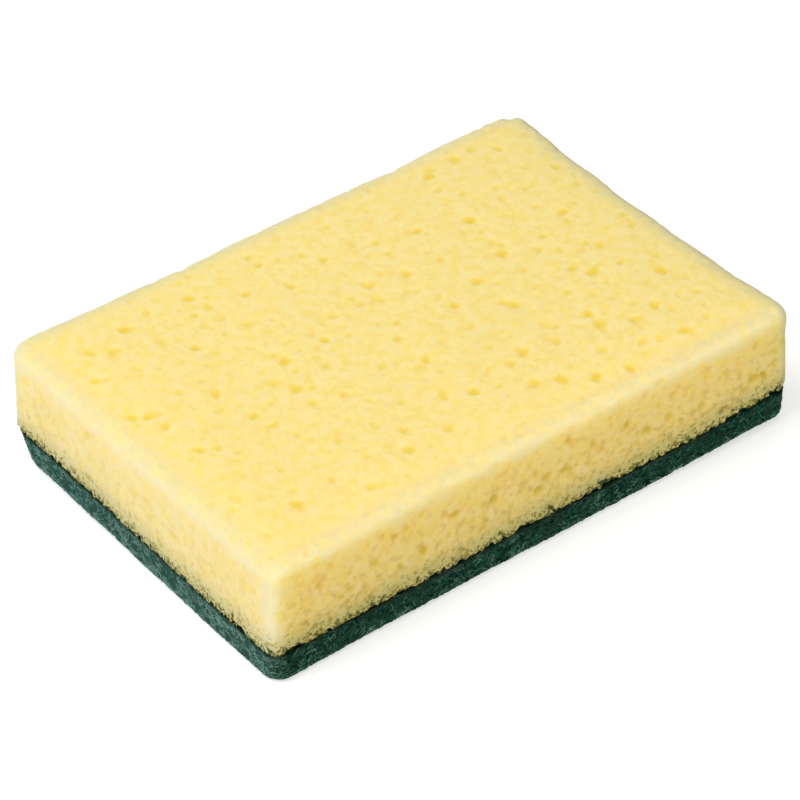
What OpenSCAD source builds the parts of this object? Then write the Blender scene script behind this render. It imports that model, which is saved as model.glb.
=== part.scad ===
// Scouring sponge: a block of open-cell foam bonded to a flat non-woven
// scouring pad of the same outline.
//
// The pad lies on the plane z = 0 and the foam stands on the pad. The origin
// is the middle of the pad's lower face, +X runs along the length, +Y across
// the width and +Z up. All sizes are in millimetres.

/* [Outline] */
// Length of the sponge
sponge_l = 140; // [80:1:200]
// Width of the sponge
sponge_w = 96; // [50:1:140]
// Radius of the three square corners, seen from above
corner_r = 3; // [2.5:0.5:10]
// Radius of the corner at +X +Y, which is cut blunt
blunt_corner_r = 7; // [2.5:0.5:12]

/* [Foam block] */
// Height of the foam above the pad
foam_h = 23; // [10:0.5:45]
// Radius along the foam's upper edge
foam_edge_r = 2; // [0.5:0.25:2.25]

/* [Scouring pad] */
// Thickness of the pad
pad_t = 8; // [4:0.5:14]
// How much rounder the pad's corners are at its lower face than under the foam
pad_corner_pinch = 4; // [0:0.5:6]
// Radius along the pad's lower edge
pad_edge_r = 1.5; // [0.5:0.25:2.25]

/* [Hidden] */

// Segments of a full circle on the foam.
$fn = 96;
// Segments of a full circle on the pad's lofted skin.
pad_fn = 32;
// Steps of the rounding along the pad's lower edge.
pad_edge_steps = 6;
// Thickness of the flat slices that the pad is lofted through.
slice_t = 0.02;

// The four corners: the side of the X and Y axes that each is on, and its radius.
CORNERS = [
    [-1, -1, corner_r],
    [ 1, -1, corner_r],
    [-1,  1, corner_r],
    [ 1,  1, blunt_corner_r],
];

// Section through the foam's border, from a corner's centre (x = 0) out to the
// side face (x = width), with the upper outer edge rounded.
module foam_border_section(width) {
    square([width - foam_edge_r, foam_h]);
    square([width, foam_h - foam_edge_r]);
    intersection() {
        square([width, foam_h]);
        translate([width - foam_edge_r, foam_h - foam_edge_r])
            circle(foam_edge_r);
    }
}

// The quarter of the foam at +X +Y: its core, the two border strips beside the
// core, and the turned corner between them.
module foam_quarter(radius) {
    core_l = sponge_l / 2 - radius;
    core_w = sponge_w / 2 - radius;

    cube([core_l, core_w, foam_h]);
    translate([0, core_w, 0])
        rotate([90, 0, 90])
            linear_extrude(core_l)
                foam_border_section(radius);
    translate([core_l, core_w, 0])
        rotate([90, 0, 0])
            linear_extrude(core_w)
                foam_border_section(radius);
    translate([core_l, core_w, 0])
        rotate_extrude(angle = 90)
            foam_border_section(radius);
}

// The foam: four quarters, each turned out towards its own corner.
module foam_block() {
    color("khaki")
        translate([0, 0, pad_t])
            for (corner = CORNERS)
                mirror([corner[0] < 0 ? 1 : 0, 0, 0])
                    mirror([0, corner[1] < 0 ? 1 : 0, 0])
                        foam_quarter(corner[2]);
}

// A flat slice through the pad, as one disc in each corner: the outline is
// drawn in by inset all round, and its corners are made rounder by pinch.
module pad_slice(inset, pinch) {
    for (corner = CORNERS) {
        radius = corner[2] + pinch - inset;
        translate([
            corner[0] * (sponge_l / 2 - inset - radius),
            corner[1] * (sponge_w / 2 - inset - radius),
            0
        ])
            cylinder(h = slice_t, r = radius, $fn = pad_fn);
    }
}

// The pad: it has the foam's outline at the bond, its corners grow rounder
// towards the lower face, and the lower edge is rolled under.
module scouring_pad() {
    color("darkslategray")
        hull() {
            translate([0, 0, pad_t - slice_t])
                pad_slice(inset = 0, pinch = 0);
            for (step = [0 : pad_edge_steps]) {
                turn = 90 * step / pad_edge_steps;
                translate([0, 0, pad_edge_r * (1 - sin(turn))])
                    pad_slice(inset = pad_edge_r * (1 - cos(turn)), pinch = pad_corner_pinch);
            }
        }
}

foam_block();
scouring_pad();
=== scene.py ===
import itertools
import math
from collections import namedtuple

import bmesh
import bpy
import numpy as np
from mathutils import Euler, Matrix, Vector


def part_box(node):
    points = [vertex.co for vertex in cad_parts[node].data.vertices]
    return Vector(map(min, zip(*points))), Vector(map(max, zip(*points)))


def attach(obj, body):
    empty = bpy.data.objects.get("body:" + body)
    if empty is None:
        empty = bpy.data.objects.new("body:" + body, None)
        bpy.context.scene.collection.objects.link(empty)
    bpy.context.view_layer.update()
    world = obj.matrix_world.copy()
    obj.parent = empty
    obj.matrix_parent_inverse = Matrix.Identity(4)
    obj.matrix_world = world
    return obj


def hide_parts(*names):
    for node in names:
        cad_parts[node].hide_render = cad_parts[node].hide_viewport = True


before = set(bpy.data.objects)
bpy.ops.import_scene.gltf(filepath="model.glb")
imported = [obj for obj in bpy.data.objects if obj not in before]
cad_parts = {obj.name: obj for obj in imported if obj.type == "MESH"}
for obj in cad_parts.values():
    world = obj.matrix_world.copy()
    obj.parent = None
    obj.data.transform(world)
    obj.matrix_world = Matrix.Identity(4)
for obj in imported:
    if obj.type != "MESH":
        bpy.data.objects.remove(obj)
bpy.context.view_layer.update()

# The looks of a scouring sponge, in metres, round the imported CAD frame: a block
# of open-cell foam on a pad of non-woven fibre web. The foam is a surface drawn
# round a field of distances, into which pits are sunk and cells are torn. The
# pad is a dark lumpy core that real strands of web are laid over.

FOAM_LOW, FOAM_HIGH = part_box("foam_block")
PAD_LOW, PAD_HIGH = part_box("scouring_pad")
MM = 0.001
SEED = 11

# --- Outline, seen from above ---
HALF_L = FOAM_HIGH.x
HALF_W = FOAM_HIGH.y
CORNER_R = {
    ("-X", "-Y"): 3.0 * MM, ("-X", "+Y"): 5.5 * MM,
    ("+X", "-Y"): 4.5 * MM, ("+X", "+Y"): 3.0 * MM,
}
# How far the middle of each side is drawn in from the line between its corners.
BOW = {"-X": 0.2 * MM, "+X": 2.2 * MM, "-Y": 0.7 * MM, "+Y": 0.8 * MM}
# The corner at +X +Y is cut by an arc that meets the long side smoothly and the
# short side at an angle.
BLUNT_R = 11.0 * MM
BLUNT_FROM_X = 8.8 * MM
BLUNT_BLEND = 1.0 * MM
# The layers aren't flat: two corners curl up, and the seam sags in the middle of a long
# side. Each warp lies at a share of the half length and width, and lifts the seam and
# the underside by so much there, and less and less out to its reach.
Warp = namedtuple("Warp", "x y seam underside reach")
WARPS = (
    Warp(-1.0, 1.0, 1.05 * MM, 1.65 * MM, 45.0 * MM),
    Warp(1.0, -1.0, 1.15 * MM, 1.30 * MM, 30.0 * MM),
    Warp(0.0, -1.0, -0.80 * MM, 0.0 * MM, 60.0 * MM),
)
MOST_LIFT = max(warp.seam for warp in WARPS)
# How far the foam's and the pad's faces, and the foam's edge radius, stray at random.
FOAM_UNEVEN = 0.12 * MM
PAD_UNEVEN = 0.08 * MM
EDGE_UNEVEN = 0.3 * MM

# --- Foam block ---
FOAM_STEP = 0.44 * MM
FOAM_TRIANGLES = 197_000
# How far each side leans in from the pad up to the top.
FOAM_LEAN = {"-X": 0.5 * MM, "+X": 0.6 * MM, "-Y": 0.0 * MM, "+Y": 0.2 * MM}
# The top sinks by this much towards its edges, over the last part of the way.
FOAM_SINK = 0.4 * MM
FOAM_SINK_FROM = 12.0 * MM
FOAM_EDGE_R = 2.8 * MM
# The painted sheen on the edges, which pits and open cells keep off, fades over this far in over
# the top and down the sides, past a strip where it is at full strength.
RIDGE_OVER_TOP = 5.5 * MM
RIDGE_FULL_TOP = 1.2 * MM
RIDGE_DOWN_SIDE = 5.0 * MM
RIDGE_FULL_SIDE = 1.0 * MM
# Pits lie on a jittered grid of this spacing, of which a share is kept, each a clump
# of a few that run together. Deep is the depth of a pit as a share of its radius. The
# last two say how well pits keep off the edges, and how far above the pad they start.
Pits = namedtuple("Pits", "spacing share radius deep clump off_ridges off_pad")
FOAM_PITS = (
    Pits(2.40 * MM, 0.7, (0.55 * MM, 1.00 * MM), (0.10, 0.24), 1, 0.1, 1.0 * MM),
    Pits(4.00 * MM, 0.8, (0.80 * MM, 1.30 * MM), (0.18, 0.42), 2, 0.4, 3.0 * MM),
    Pits(8.00 * MM, 0.9, (1.10 * MM, 1.65 * MM), (0.30, 0.52), 3, 0.8, 5.0 * MM),
)
# A pit has a flat middle and soft walls: it has lost this many powers of e of its depth
# at its radius, and is nothing by its reach. Its outline is uneven by a share.
PIT_FALL = 2.0
PIT_POWER = 1.3
PIT_REACH = 1.8
PIT_UNEVEN = 0.22
PIT_UNEVEN_SIZE = 2.8 * MM
# A pit's three radii lie between these shares of its size.
PIT_OVAL = (0.85, 1.2)
# The other pits of a clump are smaller and shallower than its first, and lie this share of
# its size aside.
CLUMP_ASIDE = (0.5, 1.0)
CLUMP_SMALLER = (0.4, 0.7)
CLUMP_SHALLOWER = 0.7
# Pits crowd together in places of this size. The share of them that is kept goes from
# CROWD_LEAST up by CROWD_MORE.
CROWD_SIZE = 9 * MM
CROWD_LEAST, CROWD_MORE = 0.3, 1.4
# Pits on the ends are this much rarer and shallower, and they keep off the edges as
# well as they can where nearness to an edge is above 1 / PIT_SPARES_RIDGES.
PIT_SPARES_ENDS = 0.5
PIT_SPARES_RIDGES = 2.5
# The band above the pad in which cells are torn open, how deep they go, and how strong
# the grain must be to open one at each height in mm, from 0 to 1.
RIM_HEIGHT = 4.4 * MM
RIM_DEPTH = 0.7 * MM
RIM_CLOSED = {0.0: 0.48, 0.5: 0.55, 1.0: 0.60, 2.0: 0.68, 3.0: 0.74, 4.4: 0.90}
# The grain is coarse and fine noise, by shares, and patches of the rim are torn more.
RIM_COARSE, RIM_COARSE_SHARE = 1.2 * MM, 0.55
RIM_FINE, RIM_FINE_SHARE = 0.6 * MM, 0.45
RIM_PATCHES, RIM_PATCHES_SHARE = 6.0 * MM, 0.14
RIM_BLEND = 0.12 * MM
# How strong the painted shade in open cells and pits is, and how strong the painted sheen
# on the edges is, on the ends, the long sides and the top.
FOAM_CELL_SHADE = (0.5, 1.0, 0.25)
FOAM_EDGE_SHEEN = (0.35, 1.0, 0.0)

# --- Scouring pad ---
PAD_STEP = 0.6 * MM
PAD_TRIANGLES = 60_000
# How much larger the corners are at the underside than at the seam.
PAD_PINCH = {
    ("-X", "-Y"): 1.8 * MM, ("-X", "+Y"): 5.8 * MM,
    ("+X", "-Y"): 1.0 * MM, ("+X", "+Y"): 4.0 * MM,
}
PAD_INSET = dict.fromkeys(("-X", "+X", "-Y", "+Y"), 0.1 * MM)
PAD_EDGE_R = 1.5 * MM
# The core lies this far under the pad's outer form, with lumps, and a little under the foam.
CORE_DEPTH = 0.36 * MM
CORE_LUMP_SIZE = 2.2 * MM
CORE_LUMP_HEIGHT = 0.10 * MM
CORE_UNDER_FOAM = 0.1 * MM
# Strands in each layer, and the sides and bends of each one's tube.
STRANDS = 5000
STRAND_SIDES = 4
STRAND_TURNS = 4
# The range of depths at which a layer's strands lie, and of their radii.
Strands = namedtuple("Strands", "depth radius")
STRAND_LAYERS = {
    "web_strands_inner": Strands((0.52 * MM, 0.68 * MM), (0.20 * MM, 0.30 * MM)),
    "web_strands_deep": Strands((0.46 * MM, 0.60 * MM), (0.17 * MM, 0.26 * MM)),
    "web_strands_middle": Strands((0.40 * MM, 0.54 * MM), (0.14 * MM, 0.22 * MM)),
    "web_strands_outer": Strands((0.32 * MM, 0.42 * MM), (0.11 * MM, 0.17 * MM)),
}
# How far a strand goes between bends, how far it weaves up and down, and the phase by
# which the weave goes on at each bend.
STRAND_STRIDE = (0.30 * MM, 0.75 * MM)
STRAND_WEAVE = (0.02 * MM, 0.10 * MM)
STRAND_WEAVE_TURN = 1.3
# The spread, in radians, of the lean from level on the sides, and of each bend.
STRAND_LEAN = 0.6
STRAND_BEND = 0.35
STRAND_UNDER_FOAM = 0.2 * MM
# How thick the two tips are, as a share.
STRAND_TIP = 0.55
# The share of strands that lie on the underside, where they are longer and thicker.
STRAND_UNDER_SHARE = 0.55
STRAND_UNDER_LONGER = 1.6
STRAND_UNDER_THICKER = 1.1
# A strand's tone is partly its own and mostly that of the clump it lies in.
TONE_OWN = 0.15
TONE_CLUMP = 0.85
TONE_CLUMP_SIZE = 2.2 * MM
TONE_CLUMP_CONTRAST = 1.2
# Painted light and shade: the ends are painted lighter and the long sides darker. How much
# is added to the tone on the ends, the long sides and the underside.
STRAND_PAINTED_LIGHT = (0.34, -0.14, 0.0)

# --- Studio ---
# The camera's direction and roll in degrees, its lens in mm, and its place in metres.
CAMERA_AZIMUTH, CAMERA_ELEVATION, CAMERA_ROLL = -37.08, 39.13, -0.97
CAMERA_LENS, CAMERA_SENSOR = 195.3, 36.0
CAMERA_DISTANCE = 0.9393
CAMERA_ASIDE, CAMERA_ABOVE = -0.00064, 0.0076
CAMERA_NEAR, CAMERA_FAR = 0.01, 20
# Square lamps that face the sponge, with their places in degrees and metres.
Lamp = namedtuple("Lamp", "azimuth elevation distance size watts tint")
LAMPS = {
    "key": Lamp(-110, 50, 1.3, 1.2, 16.4, (1.0, 0.98, 0.93)),
    "top": Lamp(-20, 75, 1.3, 1.0, 2.8, (1.0, 0.97, 0.93)),
    "front": Lamp(0, 20, 1.3, 1.0, 13.2, (1.0, 0.93, 0.68)),
    "side_bounce": Lamp(-90, -40, 1.2, 1.0, 9.0, (1.0, 1.0, 1.12)),
    "back_fill": Lamp(143, 12, 1.3, 1.0, 5.0, (1.0, 0.98, 0.93)),
}
# The white surround gives this much light, though the camera sees it at full strength.
SURROUND_LIGHT = 0.03
FLOOR_HALF = 3.0
FLOOR_GAP = 0.05 * MM


# --- Shapes as distances: negative inside the solid ---

def smooth_max(a, b, blend):
    """The larger of two distances, with the crease between them rounded over blend."""
    overlap = np.maximum(blend - np.abs(a - b), 0) / blend
    return np.maximum(a, b) + overlap * overlap * blend / 4


def waves(rng, count, wavelength, dimensions):
    """Random plane waves whose sum is a smooth ripple: directions over length, and phases."""
    across = rng.normal(size=(count, dimensions))
    across /= np.linalg.norm(across, axis=1, keepdims=True)
    length = wavelength * rng.uniform(0.7, 1.6, count)
    return across * (2 * math.pi / length)[:, None], rng.uniform(0, 2 * math.pi, count)


def ripple(places, pattern):
    """A smooth random height of about -1 to 1 at places, one array of positions per axis."""
    vectors, phases = pattern
    total = 0
    for vector, phase in zip(vectors, phases):
        total = total + np.sin(sum(p * k for p, k in zip(places, vector)) + phase)
    return total * (1.2 / math.sqrt(len(phases)))


# Noise comes from a lattice of this many random heights a side, turned out of line with
# the block.
LATTICE = 64
LATTICE_TURN = np.array(Euler((0.5, 0.7, 0.3)).to_matrix())


def noise(points, size, rng):
    """Smooth noise from 0 to 1 at points, with features of about this size."""
    heights = rng.random((LATTICE,) * 3)
    placed = points @ LATTICE_TURN / size
    cell = np.floor(placed).astype(int)
    part = placed - cell
    part = part * part * (3 - 2 * part)
    total = 0
    for corner in itertools.product((0, 1), repeat=3):
        index = (cell + corner) % LATTICE
        share = np.where(corner, part, 1 - part).prod(1)
        total = total + share * heights[tuple(index.T)]
    return total


def box_distance(past_a, past_b, radius):
    """Distance from a corner between two faces, given the distances past each, rounded."""
    a, b = past_a + radius, past_b + radius
    return np.hypot(np.maximum(a, 0), np.maximum(b, 0)) + np.minimum(np.maximum(a, b), 0) - radius


def by_corner(x, y, values):
    """The value of whichever corner each place is nearest to."""
    low_y = np.where(x < 0, values["-X", "-Y"], values["+X", "-Y"])
    high_y = np.where(x < 0, values["-X", "+Y"], values["+X", "+Y"])
    return np.where(y < 0, low_y, high_y)


def outline_distance(x, y, inset, pinch):
    """Distance in plan from the outline, with each side drawn in and the corners larger by pinch."""
    along_x, along_y = x / HALF_L, y / HALF_W
    bow_x = np.where(x > 0, BOW["+X"], BOW["-X"]) * np.maximum(1 - along_y ** 2, 0)
    bow_y = np.where(y > 0, BOW["+Y"], BOW["-Y"]) * np.maximum(1 - along_x ** 2, 0)
    half_l = HALF_L - np.where(x > 0, inset["+X"], inset["-X"])
    half_w = HALF_W - np.where(y > 0, inset["+Y"], inset["-Y"])
    past_x = np.abs(x) - half_l + bow_x
    past_y = np.abs(y) - half_w + bow_y
    plan = box_distance(past_x, past_y, by_corner(x, y, CORNER_R) + pinch)

    centre_x = half_l - BLUNT_FROM_X
    centre_y = half_w - BLUNT_R
    arc = np.hypot(x - centre_x, y - centre_y) - BLUNT_R
    return np.where((x > centre_x) & (y > centre_y), smooth_max(plan, arc, BLUNT_BLEND), plan)


def unwarped(x, y, z):
    """The height that a place has when the layers are pressed flat."""
    lift = 0
    for warp in WARPS:
        away = np.hypot(x - warp.x * HALF_L, y - warp.y * HALF_W)
        here = np.interp(z, (PAD_LOW.z, PAD_HIGH.z, FOAM_HIGH.z), (warp.underside, warp.seam, 0.0))
        lift = lift + here * np.exp(-(away / warp.reach) ** 3)
    return z - lift


SHAPE_RNG = np.random.default_rng(SEED)
TOP_RIPPLE = waves(SHAPE_RNG, 9, 30 * MM, 2)
SIDE_RIPPLE = waves(SHAPE_RNG, 9, 22 * MM, 3)
RIDGE_RIPPLE = waves(SHAPE_RNG, 8, 20 * MM, 3)


def foam_distances(x, y, z):
    """Distances past the foam's side and past its top, before they are joined."""
    rise = np.clip((z - FOAM_LOW.z) / (FOAM_HIGH.z - FOAM_LOW.z), 0, 1)
    side = outline_distance(x, y, {edge: lean * rise for edge, lean in FOAM_LEAN.items()}, 0)
    side = side + FOAM_UNEVEN * (1 - ripple((x, y, z), SIDE_RIPPLE))
    top = z - FOAM_HIGH.z + FOAM_SINK * np.maximum(1 + side / FOAM_SINK_FROM, 0) ** 2
    top = top + FOAM_UNEVEN * (1 - np.clip(ripple((x, y), TOP_RIPPLE), -1, 1))
    return side, top


def foam_envelope(x, y, z):
    """Distance from the foam's outer form, without its pits."""
    side, top = foam_distances(x, y, z)
    edge = FOAM_EDGE_R + EDGE_UNEVEN * ripple((x, y, z), RIDGE_RIPPLE)
    return np.maximum(box_distance(side, top, edge), FOAM_LOW.z - unwarped(x, y, z))


def pad_envelope(x, y, z):
    """Distance from the pad's outer form."""
    z = unwarped(x, y, z)
    drop = np.clip((PAD_HIGH.z - z) / (PAD_HIGH.z - PAD_LOW.z), 0, 1)
    side = outline_distance(x, y, PAD_INSET, by_corner(x, y, PAD_PINCH) * drop)
    side = side + PAD_UNEVEN * (1 - ripple((x, y, z), SIDE_RIPPLE))
    return np.maximum(box_distance(side, PAD_LOW.z - z, PAD_EDGE_R), z - PAD_HIGH.z)


# Slopes are measured over this step, and points settle on a surface in so many rounds.
SLOPE_STEP = 0.1 * MM
SETTLE_ROUNDS = 4


def normals_at(points, shape):
    """The outward directions of a shape's distance at points."""
    slope = np.empty_like(points)
    for axis in range(3):
        step = np.zeros(3)
        step[axis] = SLOPE_STEP
        slope[:, axis] = shape(*(points + step).T) - shape(*(points - step).T)
    return slope / np.maximum(np.linalg.norm(slope, axis=1, keepdims=True), 1e-12)


def settle(points, shape, depth):
    """Moves points to depth under a shape's surface. Returns them and the outward normals."""
    for _ in range(SETTLE_ROUNDS):
        normals = normals_at(points, shape)
        points = points - normals * (shape(*points.T) + depth)[:, None]
    return points, normals


# --- Meshes ---

CORNERS = list(itertools.product((0, 1), repeat=3))
ALONG = ((1, 0, 0), (0, 1, 0), (0, 0, 1))
# A sample that has to be filled goes this share of a step inside.
FILLED = 0.1


def at_corner(samples, corner):
    """Each cell's sample at one of its 8 corners, which is given as three times 0 or 1."""
    return samples[tuple(slice(c, n - 1 + c) for c, n in zip(corner, samples.shape))]


def corners_inside(inside):
    """How many of each cell's 8 corners are inside."""
    return sum(at_corner(inside, corner).astype(np.uint8) for corner in CORNERS)


def untangle(field, step):
    """Fills single samples until the surface passes through each cell once, so that no sheets touch."""
    while True:
        inside = field < 0
        filled = np.zeros_like(inside)
        # On a face of a cell: two corners inside and two outside, crosswise.
        for one, other in itertools.combinations(ALONG, 2):
            across = tuple(a + b for a, b in zip(one, other))
            start, end = at_corner(inside, (0, 0, 0)), at_corner(inside, across)
            left, right = at_corner(inside, one), at_corner(inside, other)
            crosswise = (start == end) & (left == right) & (start != left)
            at_corner(filled, one)[crosswise & start] = True
            at_corner(filled, (0, 0, 0))[crosswise & left] = True
        # Through a cell: two opposite corners are the only ones inside, or the only ones outside.
        count = corners_inside(inside)
        for corner in CORNERS[:4]:
            opposite = tuple(1 - c for c in corner)
            beside = (1 - corner[0], *corner[1:])
            start, end = at_corner(inside, corner), at_corner(inside, opposite)
            at_corner(filled, beside)[(count == 2) & start & end] = True
            at_corner(filled, corner)[(count == 6) & ~start & ~end] = True
        filled &= ~inside
        if not filled.any():
            return
        field[filled] = -FILLED * step


def cell_points(field, cells):
    """For each cell, the mean of the places on its edges where the field is zero, in steps."""
    total = np.zeros((len(cells), 3))
    hits = np.zeros(len(cells))
    for axis, along in enumerate(np.array(ALONG)):
        others = [other for o, other in enumerate(np.array(ALONG)) if o != axis]
        for a, b in itertools.product((0, 1), repeat=2):
            start = cells + a * others[0] + b * others[1]
            near, far = field[tuple(start.T)], field[tuple((start + along).T)]
            hit = (near < 0) != (far < 0)
            share = near[hit] / (near[hit] - far[hit])
            total[hit] += start[hit] + share[:, None] * along
            hits[hit] += 1
    return total / hits[:, None]


def cell_quads(inside, number):
    """A quad round each grid edge that the surface crosses, between the points of its four cells."""
    quads = []
    for axis in range(3):
        u, v = (axis + 1) % 3, (axis + 2) % 3
        before = tuple(slice(None, -1) if o == axis else slice(1, -1) for o in range(3))
        after = tuple(slice(1, None) if o == axis else slice(1, -1) for o in range(3))
        edges = np.argwhere(inside[before] != inside[after])
        edges[:, [u, v]] += 1
        corners = []
        for back_u, back_v in ((1, 1), (0, 1), (0, 0), (1, 0)):
            cell = edges.copy()
            cell[:, u] -= back_u
            cell[:, v] -= back_v
            corners.append(number[tuple(cell.T)])
        quad = np.stack(corners, 1)
        outward = inside[tuple(edges.T)]
        quad[~outward] = quad[~outward][:, ::-1]
        quads.append(quad)
    return np.concatenate(quads)


def surface_net(field, axes):
    """Points and quads of the surface where field is zero, with a point in each cell it crosses."""
    step = axes[0][1] - axes[0][0]
    untangle(field, step)
    inside = field < 0
    count = corners_inside(inside)
    crossed = (count > 0) & (count < len(CORNERS))
    cells = np.argwhere(crossed)
    number = np.full(crossed.shape, -1, np.int32)
    number[crossed] = np.arange(len(cells), dtype=np.int32)
    points = cell_points(field, cells) * step + [a[0] for a in axes]
    return points, cell_quads(inside, number)


def grid_axes(low, high, step):
    """Sample positions along each axis, past both ends of a box by two steps."""
    return [np.arange(a - 2 * step, b + 3 * step, step) for a, b in zip(low, high)]


def mesh_object(name, points, faces):
    """An object with a smooth mesh of equal-sided faces."""
    mesh = bpy.data.meshes.new(name)
    sides = faces.shape[1]
    mesh.vertices.add(len(points))
    mesh.vertices.foreach_set("co", points.astype(np.float32).ravel())
    mesh.loops.add(faces.size)
    mesh.loops.foreach_set("vertex_index", faces.astype(np.int32).ravel())
    mesh.polygons.add(len(faces))
    mesh.polygons.foreach_set("loop_start", np.arange(0, faces.size, sides, dtype=np.int32))
    mesh.update(calc_edges=True)
    mesh.validate()
    mesh.shade_smooth()
    thing = bpy.data.objects.new(name, mesh)
    bpy.context.scene.collection.objects.link(thing)
    return thing


def thin_out(thing, triangles):
    """Cuts a mesh down to about this many triangles, where it is flattest first."""
    now = sum(len(p.vertices) - 2 for p in thing.data.polygons)
    modifier = thing.modifiers.new("thin_out", "DECIMATE")
    modifier.ratio = min(1, triangles / now)
    modifier.use_collapse_triangulate = True
    bpy.context.view_layer.update()
    fewer = bpy.data.meshes.new_from_object(
        thing.evaluated_get(bpy.context.evaluated_depsgraph_get())
    )
    thing.modifiers.clear()
    old, thing.data = thing.data, fewer
    bpy.data.meshes.remove(old)
    thing.data.name = thing.name
    thing.data.shade_smooth()


def drop_crumbs(mesh):
    """Deletes all that isn't joined to the largest part of a mesh."""
    ends = np.empty(len(mesh.edges) * 2, np.int32)
    mesh.edges.foreach_get("vertices", ends)
    one, other = ends.reshape(-1, 2).T
    # Each vertex takes the lowest number among those it is joined to, until none changes.
    part = np.arange(len(mesh.vertices))
    while True:
        lower = np.minimum(part[one], part[other])
        joined = part.copy()
        np.minimum.at(joined, one, lower)
        np.minimum.at(joined, other, lower)
        joined = joined[joined]
        if (joined == part).all():
            break
        part = joined
    largest = np.bincount(part).argmax()
    whole = bmesh.new()
    whole.from_mesh(mesh)
    crumbs = [v for v, p in zip(whole.verts, part) if p != largest]
    bmesh.ops.delete(whole, geom=crumbs, context="VERTS")
    whole.to_mesh(mesh)
    whole.free()


def points_of(mesh):
    """A mesh's vertices as an array."""
    flat = np.empty(len(mesh.vertices) * 3, np.float32)
    mesh.vertices.foreach_get("co", flat)
    return flat.reshape(-1, 3).astype(float)


def write_attribute(mesh, name, values):
    """Stores one number per vertex for the materials to read."""
    mesh.attributes.new(name, "FLOAT", "POINT").data.foreach_set("value", values.astype(np.float32))


FLAT_GAP = 2.0 * MM
# For each side of a box: the axes laid across and up, and its column and row on the
# flat layout. Columns are as wide as the length or the height, rows as tall as the width.
FLAT_SIDES = {
    (2, 1): (0, 1, 0, 0), (2, -1): (0, 1, 0, 1),
    (1, -1): (2, 0, 1, 0), (1, 1): (2, 0, 2, 0),
    (0, -1): (2, 1, 3, 0), (0, 1): (2, 1, 3, 1),
}


def unfold(mesh, shape, low, high):
    """Lays a box-like mesh out flat for baking: each face on the side of the box it faces."""
    points, low, size = points_of(mesh), np.array(low), np.array(high) - np.array(low)
    corner = np.empty(len(mesh.loops), np.int32)
    mesh.loops.foreach_get("vertex_index", corner)
    sides = np.empty(len(mesh.polygons), np.int32)
    mesh.polygons.foreach_get("loop_total", sides)
    first = np.concatenate([[0], np.cumsum(sides)[:-1]])
    centres = np.add.reduceat(points[corner], first) / sides[:, None]
    facing = normals_at(centres, shape)
    axis = np.abs(facing).argmax(1)
    sign = np.sign(facing[np.arange(len(axis)), axis])
    axis, sign = np.repeat(axis, sides), np.repeat(sign, sides)

    length, width, height = size + FLAT_GAP
    columns = (0, length, length + height, length + 2 * height)
    place = points[corner] - low
    flat = np.empty((len(corner), 2))
    for (fixed, end), (across, up, column, row) in FLAT_SIDES.items():
        here = (axis == fixed) & (sign == end)
        flat[here] = place[here][:, [across, up]] + (columns[column], row * width)
    whole = max(columns[-1] + height, 2 * width, length)
    write_layout(mesh, (flat + FLAT_GAP / 2) / whole)


def write_layout(mesh, flat):
    """Stores a flat layout, one place per corner of each face."""
    mesh.uv_layers.new(name="OFBake").data.foreach_set("uv", flat.astype(np.float32).ravel())


# --- Foam block ---

def ridge_at(points):
    """How near points are to one of the foam's edges, from 0 to 1."""
    x, y, z = points.T
    side, top = foam_distances(x, y, z)
    down = np.maximum(-top - RIDGE_FULL_SIDE, 0) / RIDGE_DOWN_SIDE
    rim = np.maximum((-side - RIDGE_FULL_TOP) / RIDGE_OVER_TOP, down)
    aside = np.maximum(HALF_L - np.abs(x), HALF_W - np.abs(y)) - RIDGE_FULL_SIDE
    upright = np.where(-side < RIDGE_OVER_TOP, np.maximum(aside, 0) / RIDGE_OVER_TOP, 1.0)
    return np.clip(1 - np.minimum(rim, upright), 0, 1)


def scatter(rng, spacing):
    """Jittered points over the foam's top and sides, and their outward normals."""
    faces = [
        ((0, 1), 2, FOAM_HIGH.z),
        ((1, 2), 0, -HALF_L), ((1, 2), 0, HALF_L),
        ((0, 2), 1, -HALF_W), ((0, 2), 1, HALF_W),
    ]
    found = []
    for (u, v), fixed, place in faces:
        columns = np.arange(FOAM_LOW[u], FOAM_HIGH[u], spacing)
        rows = np.arange(FOAM_LOW[v], FOAM_HIGH[v], spacing)
        grid = np.stack(np.meshgrid(columns, rows), -1).reshape(-1, 2)
        grid = grid + rng.uniform(0, spacing, grid.shape)
        points = np.empty((len(grid), 3))
        points[:, u], points[:, v], points[:, fixed] = grid[:, 0], grid[:, 1], place
        found.append(points)
    return settle(np.concatenate(found), foam_envelope, 0)


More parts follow.
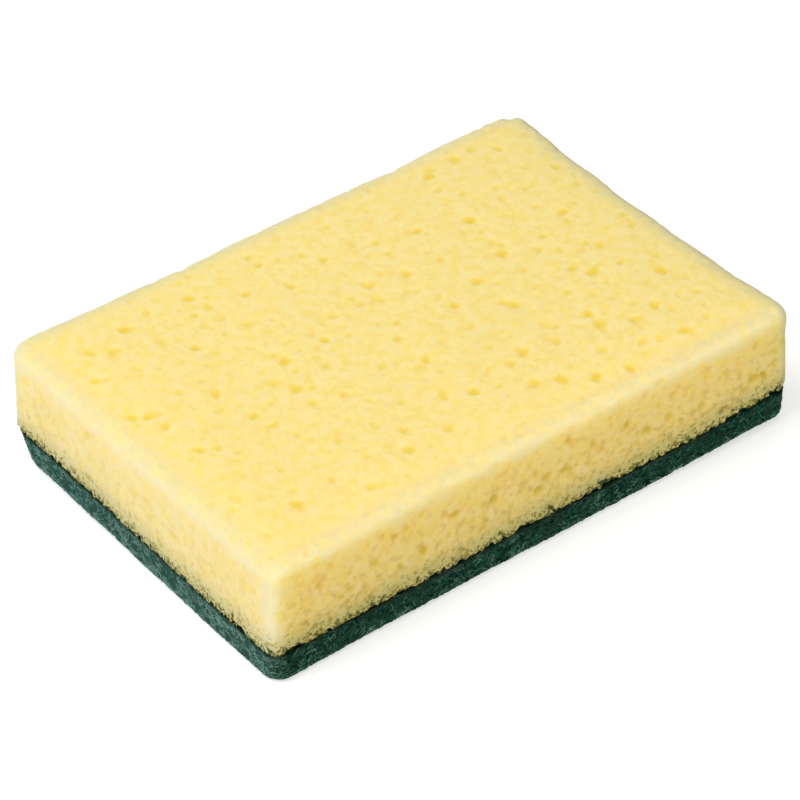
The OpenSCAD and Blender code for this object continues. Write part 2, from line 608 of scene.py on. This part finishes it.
def pit_shapes(rng, kind):
    """Centres, radii and depths of one kind of pits."""
    points, normals = scatter(rng, kind.spacing)
    crowd = CROWD_LEAST + CROWD_MORE * noise(points, CROWD_SIZE, rng)
    spared = kind.off_ridges * np.minimum(PIT_SPARES_RIDGES * ridge_at(points), 1)
    share = kind.share * crowd * (1 - spared) * (1 - PIT_SPARES_ENDS * normals[:, 0] ** 2)
    kept = rng.random(len(points)) < share
    kept &= unwarped(*points.T) > FOAM_LOW.z + kind.off_pad
    points, normals = points[kept], normals[kept]
    count = len(points)
    low, high = kind.radius
    size = low + (high - low) * rng.random(count) ** 2
    deep = rng.uniform(*kind.deep, count) * (1 - PIT_SPARES_ENDS * normals[:, 0] ** 2)

    centres, depths = [points], [size * deep]
    radii = [size[:, None] * rng.uniform(*PIT_OVAL, (count, 3))]
    for _ in range(kind.clump - 1):
        aside = np.cross(normals, rng.normal(size=(count, 3)))
        aside /= np.linalg.norm(aside, axis=1, keepdims=True)
        apart = size * rng.uniform(*CLUMP_ASIDE, count)
        smaller = size * rng.uniform(*CLUMP_SMALLER, count)
        centres.append(points + aside * apart[:, None])
        radii.append(smaller[:, None] * rng.uniform(*PIT_OVAL, (count, 3)))
        depths.append(smaller * deep * CLUMP_SHALLOWER)
    return np.concatenate(centres), np.concatenate(radii), np.concatenate(depths)


def sink_pits(field, axes, uneven, centres, radii, depths):
    """Sinks pits into a field, wider and narrower by turns as uneven goes from -1 to 1."""
    step = axes[0][1] - axes[0][0]
    starts = np.array([a[0] for a in axes])
    lows = np.maximum(((centres - PIT_REACH * radii - starts) / step).astype(int), 0)
    highs = ((centres + PIT_REACH * radii - starts) / step).astype(int) + 2
    for centre, radius, depth, low, high in zip(centres, radii, depths, lows, highs):
        window = tuple(slice(a, b) for a, b in zip(low, high))
        x, y, z = (((a[part] - c) / r) ** 2 for a, part, c, r in zip(axes, window, centre, radius))
        away = (x[:, None, None] + y[:, None] + z) * (1 + PIT_UNEVEN * uneven[window])
        field[window] += depth * np.exp(-PIT_FALL * np.maximum(away, 0) ** PIT_POWER)


def tear_rim(field, axes, rng):
    """Tears cells open along the foam's lower rim: most at the pad, few higher up."""
    levels = int((RIM_HEIGHT + MOST_LIFT + 2 * FOAM_STEP) / FOAM_STEP) + 2
    band = field[:, :, :levels]
    near = np.argwhere((band > -RIM_DEPTH - FOAM_STEP) & (band < FOAM_STEP))
    points = np.stack([a[i] for a, i in zip(axes, near.T)], 1)
    rise = (unwarped(*points.T) - FOAM_LOW.z) / MM
    # Right above the pad the depth is counted from the side alone, not from the face at the seam.
    depth = -foam_envelope(*points.T)
    depth = np.where(rise < 1, -foam_distances(*points.T)[0], depth)
    coarse = RIM_COARSE_SHARE * noise(points, RIM_COARSE, rng)
    fine = RIM_FINE_SHARE * noise(points, RIM_FINE, rng)
    patches = RIM_PATCHES_SHARE * (noise(points, RIM_PATCHES, rng) - 0.5)
    closed = np.interp(rise, list(RIM_CLOSED), list(RIM_CLOSED.values()))
    hole = np.minimum((coarse + fine - closed + patches) * RIM_COARSE, RIM_DEPTH - depth)
    where = tuple(near.T)
    band[where] = smooth_max(band[where], hole, RIM_BLEND)


def foam_block():
    """The foam: its outer form with pits and a torn lower rim."""
    axes = grid_axes(FOAM_LOW, FOAM_HIGH, FOAM_STEP)
    x, y, z = np.meshgrid(*axes, indexing="ij", sparse=True)
    field = foam_envelope(x, y, z)
    rng = np.random.default_rng(SEED)
    uneven = ripple((x, y, z), waves(rng, 12, PIT_UNEVEN_SIZE, 3)).astype(np.float32)
    for kind in FOAM_PITS:
        sink_pits(field, axes, uneven, *pit_shapes(rng, kind))
    tear_rim(field, axes, rng)
    block = mesh_object("foam", *surface_net(field, axes))
    thin_out(block, FOAM_TRIANGLES)
    drop_crumbs(block.data)

    points = points_of(block.data)
    facing = normals_at(points, foam_envelope)
    write_attribute(block.data, "depth", -foam_envelope(*points.T) / MM)
    write_attribute(block.data, "ridge", ridge_at(points))
    write_attribute(block.data, "rise", (unwarped(*points.T) - FOAM_LOW.z) / MM)
    # coarse weights the painted shade in open cells and pits by the way each place faces.
    write_attribute(block.data, "coarse", (facing ** 2) @ np.array(FOAM_CELL_SHADE))
    # pale weights the painted sheen on the edges by the way each place faces.
    write_attribute(block.data, "pale", (facing ** 2) @ np.array(FOAM_EDGE_SHEEN))
    unfold(block.data, foam_envelope, FOAM_LOW, FOAM_HIGH)
    block.data.materials.append(foam_material())
    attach(block, "root")
    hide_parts("foam_block")


# --- Scouring pad ---

def scouring_core():
    """The mass of the web, seen as dark gaps between the strands that lie over it."""
    axes = grid_axes(PAD_LOW, PAD_HIGH + Vector((0, 0, MOST_LIFT)), PAD_STEP)
    x, y, z = np.meshgrid(*axes, indexing="ij", sparse=True)
    rng = np.random.default_rng(SEED + 1)
    lumps = ripple((x, y, z), waves(rng, 14, CORE_LUMP_SIZE, 3))
    field = np.maximum(
        pad_envelope(x, y, z) + CORE_DEPTH + CORE_LUMP_HEIGHT * lumps,
        unwarped(x, y, z) - PAD_HIGH.z + CORE_UNDER_FOAM,
    )
    core = mesh_object("web_core", *surface_net(field, axes))
    thin_out(core, PAD_TRIANGLES)
    drop_crumbs(core.data)
    points = points_of(core.data)
    write_attribute(core.data, "below", (PAD_HIGH.z - unwarped(*points.T)) / MM)
    write_attribute(core.data, "ends", normals_at(points, pad_envelope)[:, 0] ** 2)
    unfold(core.data, pad_envelope, PAD_LOW, PAD_HIGH)
    core.data.materials.append(web_core_material())
    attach(core, "root")
    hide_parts("scouring_pad")


def strand_starts(rng, count):
    """Points on the pad's sides and underside, and which lie on the underside."""
    under = rng.random(count) < STRAND_UNDER_SHARE
    points = np.empty((count, 3))
    points[:, 0] = rng.uniform(-HALF_L, HALF_L, count)
    points[:, 1] = rng.uniform(-HALF_W, HALF_W, count)
    points[:, 2] = rng.uniform(PAD_LOW.z, PAD_HIGH.z, count)
    on_long = rng.random(count) < HALF_L / (HALF_L + HALF_W)
    side_of = np.where(rng.random(count) < 0.5, -1, 1)
    points[:, 0] = np.where(~under & ~on_long, side_of * HALF_L, points[:, 0])
    points[:, 1] = np.where(~under & on_long, side_of * HALF_W, points[:, 1])
    points[:, 2] = np.where(under, PAD_LOW.z, points[:, 2])
    return points, under


def strand_paths(rng, count, depth_range):
    """Paths that cross over the pad just under its outer form, and which lie on the underside."""
    points, under = strand_starts(rng, count)
    base = rng.uniform(*depth_range, count)
    weave = rng.uniform(*STRAND_WEAVE, count)
    phase = rng.uniform(0, 2 * math.pi, count)
    stride = rng.uniform(*STRAND_STRIDE, count) * np.where(under, STRAND_UNDER_LONGER, 1.0)

    points, normals = settle(points, pad_envelope, base)
    lean = np.where(under, rng.uniform(0, 2 * math.pi, count), rng.normal(0, STRAND_LEAN, count))
    level = np.cross(normals, [0.0, 0.0, 1.0])
    flat = np.linalg.norm(level, axis=1) < 0.5
    level[flat] = np.cross(normals[flat], [1.0, 0.0, 0.0])
    level /= np.linalg.norm(level, axis=1, keepdims=True)
    heading = level * np.cos(lean)[:, None] + np.cross(normals, level) * np.sin(lean)[:, None]
    heading *= np.where(rng.random(count) < 0.5, -1, 1)[:, None]

    places, ups = [points], [normals]
    for turn in range(STRAND_TURNS):
        bend = rng.normal(0, STRAND_BEND, count)
        heading = heading + np.cross(normals, heading) * bend[:, None]
        too_high = unwarped(*points.T) + heading[:, 2] * stride > PAD_HIGH.z - STRAND_UNDER_FOAM
        heading[too_high, 2] *= -1
        heading -= normals * (heading * normals).sum(1, keepdims=True)
        heading /= np.linalg.norm(heading, axis=1, keepdims=True)
        depth = base + weave * np.sin(phase + STRAND_WEAVE_TURN * turn)
        points, normals = settle(points + heading * stride[:, None], pad_envelope, depth)
        places.append(points)
        ups.append(normals)
    return np.stack(places, 1), np.stack(ups, 1), under


def tubes(paths, ups, radii):
    """Points and quads of closed tubes along many paths at once, thinner at both ends."""
    count, rings = paths.shape[:2]
    along = np.gradient(paths, axis=1)
    along /= np.linalg.norm(along, axis=2, keepdims=True)
    across = np.cross(along, ups)
    across /= np.linalg.norm(across, axis=2, keepdims=True)
    over = np.cross(across, along)
    taper = np.ones(rings)
    taper[[0, -1]] = STRAND_TIP
    thickness = radii[:, None, None, None] * taper[:, None, None]
    angles = 2 * math.pi * np.arange(STRAND_SIDES) / STRAND_SIDES
    ring = np.cos(angles)[:, None] * across[:, :, None] + np.sin(angles)[:, None] * over[:, :, None]
    points = (paths[:, :, None] + thickness * ring).reshape(-1, 3)

    side = np.arange(STRAND_SIDES)
    after = (side + 1) % STRAND_SIDES
    row = np.stack([side, side + STRAND_SIDES, after + STRAND_SIDES, after], 1)
    rows = (row + STRAND_SIDES * np.arange(rings - 1)[:, None, None]).reshape(-1, 4)
    caps = np.array([side, (side + STRAND_SIDES * (rings - 1))[::-1]])
    one = np.concatenate([rows, caps])
    faces = (one + STRAND_SIDES * rings * np.arange(count)[:, None, None]).reshape(-1, 4)
    return points, faces


def strand_layout(count):
    """Strands laid out flat for baking: each a strip of its own in a grid of strips."""
    side, turn = np.meshgrid(np.arange(STRAND_SIDES), np.arange(STRAND_TURNS))
    corners = np.array([(0, 0), (0, 1), (1, 1), (1, 0)])
    strip = np.stack([side, turn], -1).reshape(-1, 1, 2) + corners
    caps = np.array([(0, STRAND_TURNS), (1, STRAND_TURNS)])[:, None] + corners
    one = np.concatenate([strip, caps]) / (STRAND_SIDES, STRAND_TURNS + 1)
    columns = math.ceil(2 * math.sqrt(count))
    rows = math.ceil(count / columns)
    cell = np.stack([np.arange(count) % columns, np.arange(count) // columns], 1)
    margin = 0.05
    return (cell[:, None, None] + margin + (1 - 2 * margin) * one) / (columns, rows)


def scouring_strands():
    """The strands of the web, in layers of their own."""
    rng = np.random.default_rng(SEED + 2)
    material = strand_material()
    per_strand = STRAND_SIDES * (STRAND_TURNS + 1)
    for name, layer in STRAND_LAYERS.items():
        paths, ups, under = strand_paths(rng, STRANDS, layer.depth)
        radii = rng.uniform(*layer.radius, STRANDS) * np.where(under, STRAND_UNDER_THICKER, 1.0)
        points, faces = tubes(paths, ups, radii)
        clump = noise(paths[:, 0], TONE_CLUMP_SIZE, rng)
        clump = 0.5 + TONE_CLUMP_CONTRAST * (clump - 0.5)
        tone = TONE_OWN * rng.random(STRANDS) + TONE_CLUMP * clump
        # Painted light on the ends and painted shade on the long sides.
        tone += (ups[:, 0] ** 2) @ np.array(STRAND_PAINTED_LIGHT)
        strands = mesh_object(name, points, faces)
        write_attribute(strands.data, "tone", np.repeat(tone, per_strand))
        write_attribute(strands.data, "below", (PAD_HIGH.z - unwarped(*points.T)) / MM)
        write_layout(strands.data, strand_layout(STRANDS))
        strands.data.materials.append(material)
        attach(strands, "root")


# --- Materials ---

class Nodes:
    """Short calls for building one material's nodes."""

    def __init__(self, name):
        self.material = bpy.data.materials.new(name)
        self.material.use_nodes = True
        self.tree = self.material.node_tree
        self.shader = self.tree.nodes["Principled BSDF"]
        self.place = self.node("ShaderNodeTexCoord").outputs["Object"]

    def node(self, kind, **inputs):
        """A new node with its inputs set or linked."""
        made = self.tree.nodes.new(kind)
        for key, value in inputs.items():
            self.feed(made.inputs[key.replace("_", " ")], value)
        return made

    def feed(self, socket, value):
        """Links a socket to another node's output, or sets it to a value."""
        if isinstance(value, bpy.types.NodeSocket):
            self.tree.links.new(value, socket)
        else:
            socket.default_value = value

    def attribute(self, name):
        """A number stored on the mesh."""
        made = self.tree.nodes.new("ShaderNodeAttribute")
        made.attribute_name = name
        return made.outputs["Fac"]

    def math(self, operation, a, b):
        made = self.tree.nodes.new("ShaderNodeMath")
        made.operation = operation
        self.feed(made.inputs[0], a)
        self.feed(made.inputs[1], b)
        return made.outputs[0]

    def plus(self, a, b):
        return self.math("ADD", a, b)

    def less(self, a, b):
        return self.math("SUBTRACT", a, b)

    def times(self, a, b):
        return self.math("MULTIPLY", a, b)

    def larger(self, a, b):
        return self.math("MAXIMUM", a, b)

    def span(self, value, low, high, to_low=0.0, to_high=1.0):
        """value from low to high, as to_low to to_high, with soft ends."""
        made = self.tree.nodes.new("ShaderNodeMapRange")
        made.interpolation_type = "SMOOTHSTEP"
        for key, number in zip(
            ("Value", "From Min", "From Max", "To Min", "To Max"),
            (value, low, high, to_low, to_high),
        ):
            self.feed(made.inputs[key], number)
        return made.outputs["Result"]

    def noise(self, size, detail=2.0, rough=0.5):
        """Noise from 0 to 1 with features of about this size."""
        grain = {"Scale": 1 / size, "Detail": detail, "Roughness": rough}
        return self.node("ShaderNodeTexNoise", Vector=self.place, **grain).outputs["Fac"]

    def mix(self, share, a, b):
        """Colour a where share is 0, and b where it is 1."""
        made = self.tree.nodes.new("ShaderNodeMix")
        made.data_type = "RGBA"
        self.feed(made.inputs["Factor"], share)
        self.feed(made.inputs["A"], a)
        self.feed(made.inputs["B"], b)
        return made.outputs["Result"]

    def bump(self, height, distance, strength):
        """Fine relief on the shader's surface, too small to be worth a mesh."""
        made = self.node("ShaderNodeBump", Height=height, Distance=distance, Strength=strength)
        self.feed(self.shader.inputs["Normal"], made.outputs["Normal"])

    def settings(self, **values):
        """Sets numbers or colours on the shader's own sockets."""
        for key, value in values.items():
            self.shader.inputs[key.replace("_", " ")].default_value = value


def colour(red, green, blue):
    """A colour written as 8-bit sRGB, as the shaders need it."""
    def linear(value):
        value /= 255
        return value / 12.92 if value <= 0.04045 else ((value + 0.055) / 1.055) ** 2.4
    return (linear(red), linear(green), linear(blue), 1.0)


def foam_cells(n, depth, ridge, rise, coarse):
    """The foam's colour: mottled, with painted shade for its open cells, and painted shade as a deeper
    yellow in its pits.
    """
    patches = n.span(n.noise(2.8 * MM, 3, 0.6), 0.32, 0.68)
    body = n.mix(patches, colour(254, 228, 163), colour(252, 223, 138))
    grit = n.span(n.noise(0.6 * MM, 2, 0.6), 0.40, 0.72, 0.0, 0.10)
    body = n.mix(grit, body, colour(225, 196, 96))

    # Painted shade: darker blotches for open cells, strongest low down and on the long sides, fewest
    # near the edges.
    blotches = n.times(n.span(n.noise(1.9 * MM, 1), 0.46, 0.72), 0.37)
    grain = n.times(n.span(n.noise(0.8 * MM, 1), 0.5, 0.75), n.span(rise, 4.0, 12.0, 0.20, 0.03))
    spared = n.times(n.span(ridge, 0.0, 1.0, 1.0, 0.50), n.span(rise, 7.0, 20.0, 1.0, 0.45))
    open_cell_shade = n.times(n.times(n.plus(blotches, grain), coarse), spared)
    body = n.mix(open_cell_shade, body, colour(186, 156, 48))

    # Painted shade: the deeper a pit, the deeper its yellow, darker on the long sides.
    pit_shade = n.mix(n.span(coarse, 0.3, 1.0), colour(237, 214, 88), colour(216, 192, 73))
    return n.mix(n.span(depth, 0.03, 0.75), body, pit_shade)


def painted_edge_sheen(n, body, ridge, light):
    """Painted sheen: paler foam along its edges, patchy where it fades out."""
    uneven = n.span(n.noise(5.0 * MM, 3, 0.6), 0.35, 0.70, 0.0, 0.5)
    uneven = n.times(uneven, n.span(light, 0.4, 1.0))
    edge_sheen = n.span(n.less(ridge, uneven), 0.0, 0.9)
    edge_sheen = n.times(edge_sheen, n.span(n.noise(2.2 * MM, 3, 0.6), 0.36, 0.60, 0.50, 1.0))
    # Painted sheen: a pale colour, brightest on the long sides and dimmest on the top.
    pale = n.mix(n.span(light, 0.0, 0.7), colour(228, 214, 162), colour(240, 228, 188))
    return n.mix(edge_sheen, body, pale)


def torn_rim(n, body, depth, rise):
    """Duller and darker foam low down, with dark specks and painted shade in its torn cells, which end
    raggedly at the pad.
    """
    # Duller towards the pad, and mottled darker low down.
    body = n.mix(n.span(rise, 0.0, 9.0, 0.7, 0.0), body, colour(186, 185, 130))
    darker_low = n.span(n.less(n.noise(1.3 * MM, 1.5), n.times(rise, 0.012)), 0.48, 0.66)
    darker_low = n.times(darker_low, n.span(rise, 2.0, 9.0, 0.7, 0.0))
    body = n.mix(darker_low, body, colour(140, 124, 44))

    # Dark specks near the pad, and painted shade in the torn cells, the deeper the darker.
    closed = n.span(rise, 0.0, 5.0, 0.45, 0.76)
    specks = n.span(n.less(n.noise(0.75 * MM, 1.5), closed), -0.03, 0.07)
    specks = n.times(specks, n.span(rise, 3.0, 6.5, 0.8, 0.0))
    torn = n.times(n.span(depth, 0.2, 0.6), n.span(rise, 1.5, 4.4, 1.0, 0.0))
    body = n.mix(n.larger(specks, torn), body, colour(72, 90, 56))

    ragged = n.times(n.less(n.noise(1.1 * MM, 2.5), 0.5), 4.2)
    wandering = n.times(n.less(n.noise(2.4 * MM, 1), 0.5), 2.6)
    lip = n.less(rise, n.plus(ragged, wandering))
    return n.mix(n.span(lip, 0.15, 0.6, 1.0, 0.0), body, colour(30, 44, 20))


def foam_material():
    """Pale yellow open-cell foam. The attributes depth and rise are in mm, the others from 0 to 1."""
    n = Nodes("open_cell_foam")
    depth, ridge, rise = n.attribute("depth"), n.attribute("ridge"), n.attribute("rise")
    body = foam_cells(n, depth, ridge, rise, n.attribute("coarse"))
    body = painted_edge_sheen(n, body, ridge, n.attribute("pale"))
    body = torn_rim(n, body, depth, rise)
    n.feed(n.shader.inputs["Base Color"], body)
    # Light spreads inside the block, but not in the thin torn lips at its rim.
    n.feed(n.shader.inputs["Subsurface Weight"], n.span(rise, 1.0, 3.5))
    n.settings(
        Roughness=1.0, Specular_IOR_Level=0.0,
        Subsurface_Radius=(1.0, 0.95, 0.90), Subsurface_Scale=12.0 * MM,
    )
    n.bump(n.noise(0.9 * MM, 1.5), 0.2 * MM, 0.2)
    return n.material


def web_core_material():
    """The shaded inside of the web: greener underneath, with painted light on the ends and painted
    shade under the foam.
    """
    n = Nodes("web_core")
    below, ends = n.attribute("below"), n.attribute("ends")
    tone = n.span(n.noise(0.8 * MM, 3), 0.35, 0.7)
    base = n.mix(tone, colour(10, 36, 30), colour(36, 82, 71))
    underneath = n.mix(tone, colour(10, 46, 34), colour(30, 92, 74))
    base = n.mix(n.span(below, 6.6, 7.4), base, underneath)
    # Painted light: the ends are lighter.
    base = n.mix(n.times(ends, 0.45), base, colour(70, 104, 94))
    shade = n.times(n.span(below, 0.2, 1.6, 0.8, 0.0), n.span(ends, 0.0, 1.0, 1.0, 0.6))
    base = n.mix(shade, base, colour(4, 16, 8))
    n.feed(n.shader.inputs["Base Color"], base)
    n.settings(Roughness=1.0, Specular_IOR_Level=0.0)
    n.bump(n.noise(0.4 * MM, 3), 0.3 * MM, 0.8)
    return n.material


def strand_material():
    """Resin-coated green strands, each in a tone of its own, with painted light low down and on the
    ends, and painted shade under the foam.
    """
    n = Nodes("web_strand")
    below = n.attribute("below")
    grit = n.span(n.noise(0.55 * MM, 2, 0.6), 0.3, 0.7)
    tone = n.plus(n.times(n.attribute("tone"), 0.82), n.times(grit, 0.18))
    # Painted light: lighter low down, away from the shade under the foam.
    tone = n.plus(tone, n.span(below, 3.0, 7.5, 0.0, 0.12))
    base = n.mix(n.span(tone, 0.2, 0.58), colour(13, 36, 30), colour(34, 81, 70))
    base = n.mix(n.span(tone, 0.5, 0.85), base, colour(100, 138, 126))
    shade = n.plus(below, n.times(n.noise(1.6 * MM, 2), 1.6))
    base = n.mix(n.span(shade, 0.8, 2.6, 0.85, 0.0), base, colour(5, 20, 9))
    n.feed(n.shader.inputs["Base Color"], base)
    n.settings(Roughness=0.6, Specular_IOR_Level=0.15)
    n.bump(n.noise(0.2 * MM, 2), 0.08 * MM, 0.8)
    return n.material


def floor_material():
    """A pale floor that the camera sees as white, apart from the shadow on it."""
    n = Nodes("floor")
    tree = n.tree
    output = tree.nodes["Material Output"]
    n.settings(Base_Color=(0.74, 0.77, 0.86, 1), Roughness=1.0, Specular_IOR_Level=0.0)
    lift = n.node("ShaderNodeEmission", Color=(1, 1, 1, 1), Strength=0.5)
    seen = tree.nodes.new("ShaderNodeAddShader")
    tree.links.new(n.shader.outputs[0], seen.inputs[0])
    tree.links.new(lift.outputs[0], seen.inputs[1])
    path = tree.nodes.new("ShaderNodeLightPath")
    looking = n.larger(path.outputs["Is Camera Ray"], path.outputs["Is Glossy Ray"])
    above = n.less(1.0, tree.nodes.new("ShaderNodeNewGeometry").outputs["Backfacing"])
    clear = tree.nodes.new("ShaderNodeBsdfTransparent")
    mixed = tree.nodes.new("ShaderNodeMixShader")
    n.feed(mixed.inputs[0], n.times(looking, above))
    tree.links.new(clear.outputs[0], mixed.inputs[1])
    tree.links.new(seen.outputs[0], mixed.inputs[2])
    tree.links.new(mixed.outputs[0], output.inputs["Surface"])
    return n.material


# --- Camera, lamps and floor ---

def direction(azimuth, elevation):
    """The unit vector towards a place, azimuth 0 being on the -Y side and 90 on the +X side."""
    a, e = math.radians(azimuth), math.radians(elevation)
    return Vector((math.sin(a) * math.cos(e), -math.cos(a) * math.cos(e), math.sin(e)))


def make_camera():
    """The camera, at the distance and turn at which the block has its true perspective."""
    back = direction(CAMERA_AZIMUTH, CAMERA_ELEVATION)
    right = Vector((0, 0, 1)).cross(back).normalized()
    up = back.cross(right)
    cos, sin = math.cos(math.radians(CAMERA_ROLL)), math.sin(math.radians(CAMERA_ROLL))
    right, up = right * cos + up * sin, up * cos - right * sin
    data = bpy.data.cameras.new("camera")
    data.lens, data.sensor_width = CAMERA_LENS, CAMERA_SENSOR
    data.clip_start, data.clip_end = CAMERA_NEAR, CAMERA_FAR
    camera = bpy.data.objects.new("camera", data)
    camera.location = back * CAMERA_DISTANCE + right * CAMERA_ASIDE + up * CAMERA_ABOVE
    camera.rotation_euler = Matrix((right, up, back)).transposed().to_euler()
    bpy.context.scene.collection.objects.link(camera)
    bpy.context.scene.camera = camera


def make_floor():
    """A square floor just under the sponge."""
    height = PAD_LOW.z - FLOOR_GAP
    square = [(-1, -1), (1, -1), (1, 1), (-1, 1)]
    corners = np.array([(FLOOR_HALF * x, FLOOR_HALF * y, height) for x, y in square])
    floor = mesh_object("floor", corners, np.array([[0, 1, 2, 3]]))
    floor.data.materials.append(floor_material())


def make_lamps():
    """The soft lamps, each a square that faces the sponge and that the camera doesn't see."""
    for name, kind in LAMPS.items():
        data = bpy.data.lights.new(name, "AREA")
        data.size, data.energy, data.color = kind.size, kind.watts, kind.tint
        lamp = bpy.data.objects.new(name, data)
        towards = direction(kind.azimuth, kind.elevation)
        lamp.location = towards * kind.distance
        lamp.rotation_euler = towards.to_track_quat("Z", "Y").to_euler()
        lamp.visible_camera = False
        bpy.context.scene.collection.objects.link(lamp)


def make_surround():
    """A surround that the camera sees as white, and that lights the sponge only a little."""
    world = bpy.data.worlds.new("surround")
    world.use_nodes = True
    tree = world.node_tree
    sky = tree.nodes["Background"]
    sky.inputs["Color"].default_value = (1, 1, 1, 1)
    path = tree.nodes.new("ShaderNodeLightPath")
    strength = tree.nodes.new("ShaderNodeMapRange")
    tree.links.new(path.outputs["Is Camera Ray"], strength.inputs["Value"])
    strength.inputs["To Min"].default_value = SURROUND_LIGHT
    strength.inputs["To Max"].default_value = 1.0
    tree.links.new(strength.outputs[0], sky.inputs["Strength"])
    bpy.context.scene.world = world


bpy.context.scene.view_settings.view_transform = "Standard"
make_camera()
make_floor()
make_lamps()
make_surround()
foam_block()
scouring_core()
scouring_strands()
